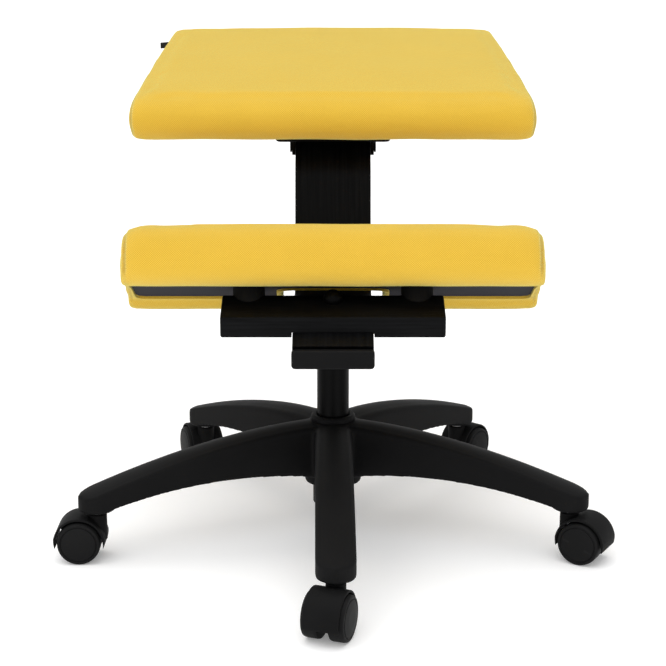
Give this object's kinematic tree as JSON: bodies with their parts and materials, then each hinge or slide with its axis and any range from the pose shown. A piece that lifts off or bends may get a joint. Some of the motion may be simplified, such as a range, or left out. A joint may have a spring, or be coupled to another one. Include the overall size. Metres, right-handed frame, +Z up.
{
  "type": "kneeling chair",
  "caption": "Kneeling chair with a forward-tilted padded seat and a padded knee rest on a bent wooden beam, on a height-adjustable column and a star base with castors.",
  "frame": {"origin": "on the floor, under the middle of the column", "axes": "+Z up, -Y towards the knee rest (the side that the picture shows), +X to the right in the picture"},
  "size_m": [0.6495, 0.7081, 0.5778],
  "materials": {
    "cover_fabric": "woven yellow cover over foam",
    "black_wood": "black stained, satin lacquer",
    "charcoal_panel": "charcoal cloth over a hard board",
    "label_fabric": "blank black tag",
    "bright_steel": "zinc plated",
    "black_steel": "black powder coat, satin",
    "black_nylon": "fine-grained black moulding",
    "castor_tread": "black, slightly glossy"
  },
  "bodies": {
    "base": {"star_base": "black_nylon", "lift_outer_tube": "black_steel", "lift_collar": "black_nylon", "lift_retaining_clip": "bright_steel", "castor_stem_front": "bright_steel", "castor_stem_right": "bright_steel", "castor_stem_rear_right": "bright_steel", "castor_stem_rear_left": "bright_steel", "castor_stem_left": "bright_steel"},
    "lift_tube": {"lift_inner_tube": "black_steel"},
    "upper_frame": {"column_head": "black_steel", "column_head_bolt_left": "bright_steel", "column_head_bolt_right": "bright_steel", "laminated_beam": "black_wood", "beam_end_cap": "black_nylon", "release_lever_pin": "bright_steel", "seat_bracket": "black_steel", "seat_bracket_bolt_front": "black_steel", "seat_bracket_bolt_rear": "black_steel", "seat_screw_front_left": "bright_steel", "seat_screw_front_right": "bright_steel", "seat_screw_rear_left": "bright_steel", "seat_screw_rear_right": "bright_steel", "seat_board": "charcoal_panel", "seat_cushion": "cover_fabric", "seat_side_tag": "label_fabric"},
    "lever": {"release_lever": "black_steel", "release_lever_grip": "black_nylon"},
    "knee_carriage": {"knee_crossbar": "black_wood", "knee_clamp_bolt": "black_steel", "knee_peg_left": "black_nylon", "knee_peg_right": "black_nylon", "knee_board": "charcoal_panel", "knee_cushion": "cover_fabric"},
    "clamp_knob": {"knee_clamp_knob": "black_nylon"},
    "castor_front": {"castor_fork_front": "black_nylon", "castor_axle_front": "bright_steel"},
    "wheel_front_a": {"castor_wheel_front_a": "castor_tread"},
    "wheel_front_b": {"castor_wheel_front_b": "castor_tread"},
    "castor_right": {"castor_fork_right": "black_nylon", "castor_axle_right": "bright_steel"},
    "wheel_right_a": {"castor_wheel_right_a": "castor_tread"},
    "wheel_right_b": {"castor_wheel_right_b": "castor_tread"},
    "castor_rear_right": {"castor_fork_rear_right": "black_nylon", "castor_axle_rear_right": "bright_steel"},
    "wheel_rear_right_a": {"castor_wheel_rear_right_a": "castor_tread"},
    "wheel_rear_right_b": {"castor_wheel_rear_right_b": "castor_tread"},
    "castor_rear_left": {"castor_fork_rear_left": "black_nylon", "castor_axle_rear_left": "bright_steel"},
    "wheel_rear_left_a": {"castor_wheel_rear_left_a": "castor_tread"},
    "wheel_rear_left_b": {"castor_wheel_rear_left_b": "castor_tread"},
    "castor_left": {"castor_fork_left": "black_nylon", "castor_axle_left": "bright_steel"},
    "wheel_left_a": {"castor_wheel_left_a": "castor_tread"},
    "wheel_left_b": {"castor_wheel_left_b": "castor_tread"}
  },
  "joints": [
    {"name": "seat_height", "type": "slide", "parent": "base", "child": "lift_tube", "axis": [0, 0, 1], "range_m": [-0.02, 0.05]},
    {"name": "column_swivel", "type": "hinge", "parent": "lift_tube", "child": "upper_frame", "pos_m": [0, 0, 0.24], "axis": [0, 0, 1], "continuous": true},
    {"name": "release_lever_lift", "type": "hinge", "parent": "upper_frame", "child": "lever", "pos_m": [0.033, 0.014, 0.246], "axis": [0, -1, 0], "range_deg": [0, 6], "stiffness_Nm_per_rad": 0.6, "springref_deg": -11.46},
    {"name": "knee_rest_slide", "type": "slide", "parent": "upper_frame", "child": "knee_carriage", "axis": [0, -0.9563, -0.2924], "range_m": [-0.0015, 0.028]},
    {"name": "clamp_knob_turn", "type": "hinge", "parent": "knee_carriage", "child": "clamp_knob", "pos_m": [0, -0.0787, 0.29097], "axis": [0, -0.2924, 0.9563], "continuous": true},
    {"name": "castor_front_swivel", "type": "hinge", "parent": "base", "child": "castor_front", "pos_m": [0.00302, -0.28798, 0.058], "axis": [0, 0, 1], "continuous": true},
    {"name": "wheel_front_a_spin", "type": "hinge", "parent": "castor_front", "child": "wheel_front_a", "pos_m": [-0.00382, -0.30678, 0.025], "axis": [0.9397, -0.342, 0], "continuous": true},
    {"name": "wheel_front_b_spin", "type": "hinge", "parent": "castor_front", "child": "wheel_front_b", "pos_m": [-0.00382, -0.30678, 0.025], "axis": [0.9397, -0.342, 0], "continuous": true},
    {"name": "castor_right_swivel", "type": "hinge", "parent": "base", "child": "castor_right", "pos_m": [0.27482, -0.08612, 0.058], "axis": [0, 0, 1], "continuous": true},
    {"name": "wheel_right_a_spin", "type": "hinge", "parent": "castor_right", "child": "wheel_right_a", "pos_m": [0.29214, -0.09612, 0.025], "axis": [0.5, 0.866, 0], "continuous": true},
    {"name": "wheel_right_b_spin", "type": "hinge", "parent": "castor_right", "child": "wheel_right_b", "pos_m": [0.29214, -0.09612, 0.025], "axis": [0.5, 0.866, 0], "continuous": true},
    {"name": "castor_rear_right_swivel", "type": "hinge", "parent": "base", "child": "castor_rear_right", "pos_m": [0.16683, 0.23476, 0.058], "axis": [0, 0, 1], "continuous": true},
    {"name": "wheel_rear_right_a_spin", "type": "hinge", "parent": "castor_rear_right", "child": "wheel_rear_right_a", "pos_m": [0.17969, 0.25008, 0.025], "axis": [-0.766, 0.6428, 0], "continuous": true},
    {"name": "wheel_rear_right_b_spin", "type": "hinge", "parent": "castor_rear_right", "child": "wheel_rear_right_b", "pos_m": [0.17969, 0.25008, 0.025], "axis": [-0.766, 0.6428, 0], "continuous": true},
    {"name": "castor_rear_left_swivel", "type": "hinge", "parent": "base", "child": "castor_rear_left", "pos_m": [-0.17171, 0.23121, 0.058], "axis": [0, 0, 1], "continuous": true},
    {"name": "wheel_rear_left_a_spin", "type": "hinge", "parent": "castor_rear_left", "child": "wheel_rear_left_a", "pos_m": [-0.17921, 0.24976, 0.025], "axis": [-0.9272, -0.3746, 0], "continuous": true},
    {"name": "wheel_rear_left_b_spin", "type": "hinge", "parent": "castor_rear_left", "child": "wheel_rear_left_b", "pos_m": [-0.17921, 0.24976, 0.025], "axis": [-0.9272, -0.3746, 0], "continuous": true},
    {"name": "castor_left_swivel", "type": "hinge", "parent": "base", "child": "castor_left", "pos_m": [-0.27296, -0.09186, 0.058], "axis": [0, 0, 1], "continuous": true},
    {"name": "wheel_left_a_spin", "type": "hinge", "parent": "castor_left", "child": "wheel_left_a", "pos_m": [-0.29296, -0.09186, 0.025], "axis": [0, -1, 0], "continuous": true},
    {"name": "wheel_left_b_spin", "type": "hinge", "parent": "castor_left", "child": "wheel_left_b", "pos_m": [-0.29296, -0.09186, 0.025], "axis": [0, -1, 0], "continuous": true}
  ]
}
